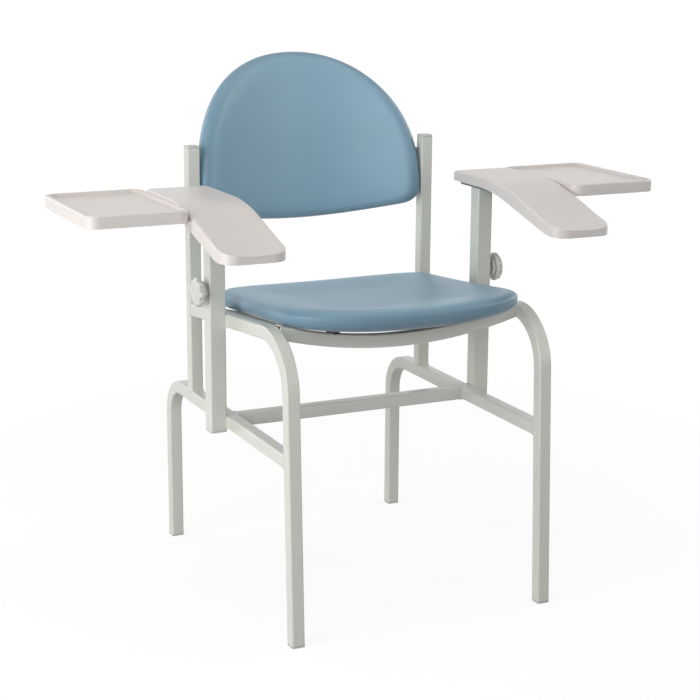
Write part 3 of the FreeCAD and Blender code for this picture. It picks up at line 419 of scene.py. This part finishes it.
pad_rows, pad_columns = 56, 240
seat_length, seat_half_width, seat_start = 0.4496, 0.2104, -0.0164
front_reach, front_power = 0.133, 2.71
rear_reach, rear_power = 0.088, 2.56
taper = 0.05
from_front = seat_length * (1 - np.cos(np.linspace(0, np.pi, 4001))) / 2
half = seat_half_width * np.minimum(superellipse(from_front / front_reach, front_power),
                                    superellipse((seat_length - from_front) / rear_reach, rear_power))
half *= 1 + taper * (0.5 - from_front / seat_length)
seat_outline = closed_outline(np.concatenate([half, -half[::-1]]),
                              seat_start + np.concatenate([from_front, from_front[::-1]]), pad_columns)
plan, inside = drawn_in(seat_outline, np.array([0, 0.2]), pad_rows)
x, y = plan[..., 0], plan[..., 1]
share = (y - seat_start) / seat_length
sideways = np.clip(np.abs(x) / 0.21, 0, 1) ** 2
bowl = 0.0230 + 0.23 * x ** 2 - 0.0035 * np.sin(np.pi * np.clip(share, 0, 1)) + 0.0033 * share ** 2
hollow, board_recess, board_edge = 0.009, 0.0095, 0.033
upper = bowl - shoulder(inside, 0.05 + 0.03 * sideways, 0.0045 + 0.0025 * sideways)
upper = upper - hollow * smooth(inside / 0.13)
under = -0.0166 + 0.335 * x ** 2 + board_recess * smooth((inside - board_edge) / 0.007)
ahead = np.clip(1 - share / 0.35, 0, 1)
edge = 0.0040 + 0.24 * x ** 2 + 0.0020 * share ** 2 + 0.0045 * ahead * (1 - 0.5 * sideways)
nose_above, nose_under, nose_power = 0.019, 0.034 - 0.02 * sideways, 2.1
upper_z = edge + (upper - edge) * superellipse(inside / nose_above, nose_power)
under_z = edge - (edge - under) * superellipse(inside / nose_under, nose_power)
seat_rings, volume = outward(in_seat_slope(both_sides(np.stack([x, y, upper_z], axis=-1),
                                                      np.stack([x, y, under_z], axis=-1))))
seat = lofted("seat_pad", seat_rings, seat_rings[0].mean(axis=0), seat_rings[-1].mean(axis=0),
              "frame", "upholstery")
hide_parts("seat_cushion")
# Painted shade: the seat pad's rim and underside get a darker vinyl colour.
mark_painted_rim_shade(seat, inside, 0.016)
print("seat pad:", len(seat.data.vertices), "points,", round(volume * 1000, 2), "litres")

# %% [markdown]
# ## Back cushion
# The back is an arch seen from the front and is bowed round the sitter seen from above. It
# leans back a little. The outline is drawn in as for the seat, on a flat sheet. The sheet is
# then bent: a point goes to its own angle on the bow, and the thickness is laid off along the
# bow's radius, so that the pad is as thick at its sides as in its middle.

# %% Back cushion
half_back, bow_radius, bow_place, recline = 0.2094, 0.299, 0.2395, 0.1
back_foot, back_level, back_top, foot_bow = 0.5963, 0.6595, 0.8942, 0.0304
corner = 0.022
turn = np.linspace(-1, 1, 2001) * np.pi / 2
arch = back_level + (back_top - back_level) * (1 - np.abs(np.sin(turn)) ** 2.15) ** (1 / 2.46)
from_side = half_back * (1 - np.abs(np.sin(turn)))
round_end = np.clip((corner - from_side) / corner, 0, 1)
base = back_foot + foot_bow * np.sin(turn) ** 2 + corner * (1 - np.sqrt(1 - round_end ** 2))
across = half_back * np.sin(turn)
back_outline = closed_outline(np.concatenate([across, across[::-1], across[:1]]),
                              np.concatenate([base, arch[::-1], base[:1]]), pad_columns)
back_outline = soften(back_outline[None], 1.2)[0]
plan, inside = drawn_in(back_outline, np.array([0, 0.74]), pad_rows)
angle = np.arcsin(plan[..., 0] / bow_radius)


def on_bow(offset):
    """Points at an offset outside the bow: radius times sine and cosine of each one's angle."""
    lean = recline * (plan[..., 1] - back_level)
    return np.stack([(bow_radius + offset) * np.sin(angle),
                     bow_place - bow_radius + (bow_radius + offset) * np.cos(angle) + lean,
                     plan[..., 1]], axis=-1)


crown = 0.0185 + 0.0022 * np.clip(inside / 0.17, 0, 1)
face = on_bow(-(crown - shoulder(inside, 0.04, 0.0045)) * superellipse(inside / 0.015, 2.0))
rim, rim_recess = 0.0175, 0.0075
rear = on_bow(rim * superellipse(inside / 0.013, 2.2) - rim_recess * smooth((inside - 0.0145) / 0.006))
back_rings, volume = outward(both_sides(face, rear))
back = lofted("back_pad", back_rings, back_rings[0].mean(axis=0), back_rings[-1].mean(axis=0),
              "frame", "upholstery")
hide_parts("back_cushion")
# Painted shade: the back pad's rim and rear side get a darker vinyl colour.
mark_painted_rim_shade(back, inside, 0.012)
print("back pad:", len(back.data.vertices), "points,", round(volume * 1000, 2), "litres")

# %% [markdown]
# ## Clamp knobs
# A clamp knob is a turned profile: a round flange at the sleeve, a deep groove, and a domed body
# whose rim is scalloped for the fingers. It is one surface: the profile is carried round the
# axis, and wherever it would pass outside the scalloped outline it is held at that outline.

# %% Knobs
def rounded_corners(corners, radii, steps=7):
    """An open path whose inner corners are replaced by arcs: from one tangent point to the
    other, blended as (1 - t)^2, 2t(1 - t), t^2 between the tangent points and the corner."""
    corners = np.asarray(corners, float)
    path = [corners[0]]
    for before, corner, after, radius in zip(corners, corners[1:], corners[2:], radii):
        back, ahead = before - corner, after - corner
        back_length, ahead_length = np.linalg.norm(back), np.linalg.norm(ahead)
        reach = min(radius, back_length * 0.49, ahead_length * 0.49)
        start = corner + back * reach / back_length
        end = corner + ahead * reach / ahead_length
        t = np.linspace(0, 1, steps)[:, None]
        path += list((1 - t) ** 2 * start + 2 * t * (1 - t) * corner + t ** 2 * end)
    path.append(corners[-1])
    return np.array(path)


def scallop(angle, radius, lobes, flute_radius, depth):
    """Outline radius at an angle: the circle, or the near side of the flute's circle."""
    off = (angle + np.pi / lobes) % (2 * np.pi / lobes) - np.pi / lobes
    centre = radius + flute_radius - depth
    inside = np.clip(flute_radius ** 2 - (centre * np.sin(off)) ** 2, 0, None)
    near = centre * np.cos(off) - np.sqrt(inside)
    return np.where(inside > 0, np.minimum(radius, near), radius)


def soft_least(first, second, softness):
    """The smaller of two arrays, blended where they are nearly equal."""
    return -softness * np.logaddexp(-first / softness, -second / softness)


knob_back, axis_y, axis_z = 0.2711, -0.0048, 0.526
profile = rounded_corners(
    [(17.1, 0.2), (17.1, 4.6), (18.5, 5.8), (17.9, 13.0), (15.6, 21.0), (12.6, 25.0), (6.3, 25.0),
     (5.5, 21.0), (5.5, 12.5), (3.6, 12.0), (3.9, 17.0), (0.1, 17.8), (0.1, 12.0), (2.6, 11.0),
     (2.6, 0.2)],
    [0.9, 1.2, 5, 5, 3.0, 1.6, 1.6, 0.7, 0.7, 1.3, 1.3, 0.8, 0.8]) / 1000
lobes, flute_radius, flute_depth = 8, 0.0072, 0.0034
turn_angle = np.linspace(0, 2 * np.pi, 208, endpoint=False)[None, :]
outline = scallop(turn_angle + 0.39, 0.025, lobes, flute_radius, flute_depth)
knob_radius = soft_least(profile[:, 1:] + 0 * outline, outline + 0 * profile[:, 1:], 0.00025)
knob_rings = np.stack([knob_back + profile[:, :1] + 0 * outline,
                       axis_y + knob_radius * np.cos(turn_angle),
                       axis_z + knob_radius * np.sin(turn_angle)], axis=-1)
ends = [[knob_back + profile[row, 0], axis_y, axis_z] for row in (0, -1)]
for side, sign in (("right", 1), ("left", -1)):
    mirror = np.array([sign, 1, 1])
    knob = lofted(side + "_knob_moulding", knob_rings[:, ::sign] * mirror, ends[0] * mirror,
                  ends[1] * mirror, side + "_knob", "knob_plastic")
    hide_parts(side + "_clamp_knob")
print("knob:", len(knob.data.vertices), "points,", lobes, "scallops")

# %% [markdown]
# ## Weld beads
# Where one tube is welded to another, a bead of metal runs round the joint, with the small
# ripples of the welder's hand, and the paint flows over it. A bead is a round tube carried along
# the outline of the joint. Each ripple is a swelling of its radius every two millimetres.

# %% Beads
def along_path(corners, radii, step=0.0008):
    """A rounded path through corners, cut into equal steps by its running length."""
    path = rounded_corners(corners, radii, steps=9)
    run = np.concatenate([[0], np.cumsum(np.linalg.norm(np.diff(path, axis=0), axis=1))])
    even = np.linspace(0, run[-1], max(8, int(run[-1] / step)))
    return np.stack([np.interp(even, run, path[:, k]) for k in range(3)], axis=-1), even


def bead_rings(corners, radii, thick=0.0016):
    """Rings of a tube along a path: its radius swells by a tenth every 2.2 mm and is drawn in
    at both ends."""
    path, run = along_path(corners, radii)
    ahead = np.gradient(path, axis=0)
    ahead /= np.linalg.norm(ahead, axis=1, keepdims=True)
    first = np.cross(ahead, np.array([0.31, 0.52, 0.79]))
    first /= np.linalg.norm(first, axis=1, keepdims=True)
    second = np.cross(ahead, first)
    from_end = np.minimum(run, run[-1] - run)
    ripple = 1 + 0.1 * np.sin(2 * np.pi * run / 0.0022)
    size = thick * ripple * superellipse(from_end / 0.002 + 0.2, 2)
    angle = np.linspace(0, 2 * np.pi, 8, endpoint=False)[None, :, None]
    ring = np.cos(angle) * first[:, None] + np.sin(angle) * second[:, None]
    return path[:, None] + ring * size[:, None, None], path[0], path[-1]


def square_round(centre, u, v, width, height, radius=0.0028):
    """Corners and radii of a rounded rectangle, begun in the middle of one side."""
    centre, u, v = (np.array(value, float) for value in (centre, u, v))
    signs = [(0, -1), (1, -1), (1, 1), (-1, 1), (-1, -1), (0, -1)]
    return [centre + u * a * width / 2 + v * b * height / 2 for a, b in signs], [radius] * 4


tube, half_width, inner_x = 0.0222, 0.2375, 0.2153
rail_x = half_width - tube / 2
front_foot_y, post_y, sleeve_y, rail_z = -0.2955, -0.2955 + 0.4506, -0.0048, 0.3005
X, Y, Z = np.eye(3)
rail_back = np.array([0, math.cos(seat_slope), -math.sin(seat_slope)])
rail_up = np.array([0, math.sin(seat_slope), math.cos(seat_slope)])
leg_lean = math.radians(2.55)
leg_up = np.array([0, math.sin(leg_lean), math.cos(leg_lean)])


def rail_point(x, y):
    """The point of the seat rail's centre line at one distance along the floor."""
    start = corner_place - rail_up * tube / 2
    return np.array([x, 0, 0]) + start + rail_back * (y - start[1]) / rail_back[1]


leg_rear = front_foot_y + rail_z * math.tan(leg_lean) + tube / math.cos(leg_lean)
joints = [square_round((inner_x, sleeve_y, rail_z), Y, Z, tube, tube),
          square_round((rail_x, post_y + tube / 2, rail_z + tube / 2), X, Y, tube, tube),
          square_round(rail_point(rail_x, post_y), X, Z, tube, tube / math.cos(seat_slope)),
          square_round((rail_x, leg_rear, rail_z), X, leg_up, tube, tube / math.cos(leg_lean))]
bearer_places, below_top = (0.084, 0.335), -0.003
for along in bearer_places:
    corners = [(inner_x, along + a * tube / 2, z)
               for a, z in ((-1, below_top), (-1, -tube), (1, -tube), (1, below_top))]
    joints.append((in_seat_slope(corners), [0.0028] * 2))
sleeve_half, bead_half = 0.0143, 0.0105
for height in (rail_z, rail_point(0, sleeve_y)[2]):
    for side in (-sleeve_half, sleeve_half):
        corners = [(half_width, sleeve_y + side, height + z) for z in (-bead_half, 0, bead_half)]
        joints.append((corners, [0.001]))
sleeve_face, nut_radius = 0.2661, 0.0071
nut_angle = np.linspace(0, 2 * np.pi, 33)
joints.append((np.stack([sleeve_face + 0 * nut_angle, axis_y + nut_radius * np.cos(nut_angle),
                         axis_z + nut_radius * np.sin(nut_angle)], axis=-1), [0.0001] * 31))
bead_points, bead_faces = [], []
start = 0
for corners, radii in joints:
    for sign in (1, -1):
        points, faces = closed_skin(*bead_rings(np.asarray(corners) * np.array([sign, 1, 1]), radii))
        bead_points.append(points)
        bead_faces += [[start + index for index in face] for face in faces]
        start += len(points)
beads = piece("weld_beads", np.concatenate(bead_points), bead_faces, "frame", "frame_paint")
print("weld beads:", len(joints) * 2, "runs,", len(beads.data.polygons), "faces")

# %% [markdown]
# ## Floor and light
# A white floor and nine soft boxes, brightest on the left. The camera sees the floor and the
# world as white, while they light the chair at a plain level. Near the chair a fifth of what
# the camera sees of the floor is its real light, so the chair keeps a faint shadow.

# %% Studio
def softbox(name, place, aim, size, watts):
    """A square lamp that faces a point."""
    lamp = bpy.data.lights.new(name, "AREA")
    lamp.shape = "RECTANGLE"
    lamp.size = size
    lamp.size_y = size
    lamp.energy = watts
    made = bpy.data.objects.new(name, lamp)
    made.location = place
    made.rotation_euler = (Vector(aim) - Vector(place)).to_track_quat("-Z", "Y").to_euler()
    bpy.context.collection.objects.link(made)


def seen_white(tree):
    """Shares of 1 for rays from the camera, from gloss and through glass, otherwise 0."""
    path = tree.nodes.new("ShaderNodeLightPath")
    seen = path.outputs["Is Camera Ray"]
    for ray in ("Is Glossy Ray", "Is Transmission Ray"):
        most = tree.nodes.new("ShaderNodeMath")
        most.operation = "MAXIMUM"
        tree.links.new(seen, most.inputs[0])
        tree.links.new(path.outputs[ray], most.inputs[1])
        seen = most.outputs[0]
    return seen


floor_size = 60.0
floor_mesh = bpy.data.meshes.new("floor")
floor_corners = [(a * floor_size, b * floor_size, 0) for a, b in ((-1, -1), (1, -1), (1, 1), (-1, 1))]
floor_mesh.from_pydata(floor_corners, [], [(0, 1, 2, 3)])
floor = bpy.data.objects.new("floor", floor_mesh)
bpy.context.collection.objects.link(floor)
white = Finish("floor_white", Roughness=0.9)
seen = Signal(white, seen_white(white.tree))
white.set("Base Color", white.mix(seen, (0.32, 0.32, 0.32, 1.0), (0.9, 0.9, 0.9, 1.0)))
away = white.node("ShaderNodeVectorMath", {"operation": "LENGTH"}, {0: white.place()}, output="Value")
glow = white.node("ShaderNodeEmission", inputs={"Strength": 1.05})
blended = white.node("ShaderNodeMixShader", inputs={
    0: seen * away.ramp(0.6, 2.4, 0.8, 0.97), 1: Signal(white, white.shader.outputs[0]), 2: glow})
white.feed(white.tree.nodes["Material Output"].inputs["Surface"], blended)
floor.data.materials.append(white.material)

world = bpy.data.worlds.new("studio")
bpy.context.scene.world = world
world.use_nodes = True
tree = world.node_tree
strength = tree.nodes.new("ShaderNodeMapRange")
tree.links.new(seen_white(tree), strength.inputs[0])
on_the_chair, seen_directly = 0.1, 1.0
strength.inputs[3].default_value = on_the_chair
strength.inputs[4].default_value = seen_directly
background = tree.nodes["Background"]
background.inputs["Color"].default_value = (1.0, 1.0, 1.0, 1.0)
tree.links.new(strength.outputs[0], background.inputs["Strength"])
middle_of_chair = (0, 0, 0.55)
for name, place, size, watts in (
        ("left_level", (-2.2, -0.5, 0.8), 1.2, 19),
        ("left_edge", (-2.4, -1.4, 0.55), 0.6, 9),
        ("front_left", (-1.6, -3.0, 1.6), 1.6, 27),
        ("left_high", (-2.5, -0.8, 2.2), 1.6, 18),
        ("overhead", (0, 0, 3.2), 2.0, 16),
        ("right_high", (2.6, -0.6, 2.2), 1.6, 26),
        ("front_right", (2.0, -2.8, 1.4), 1.6, 12),
        ("rear_left", (-1.8, 2.4, 1.8), 1.6, 25),
        ("rear_right", (3.0, 1.2, 1.6), 1.6, 15)):
    softbox(name, place, middle_of_chair, size, watts)
bpy.context.scene.view_settings.view_transform = "Standard"
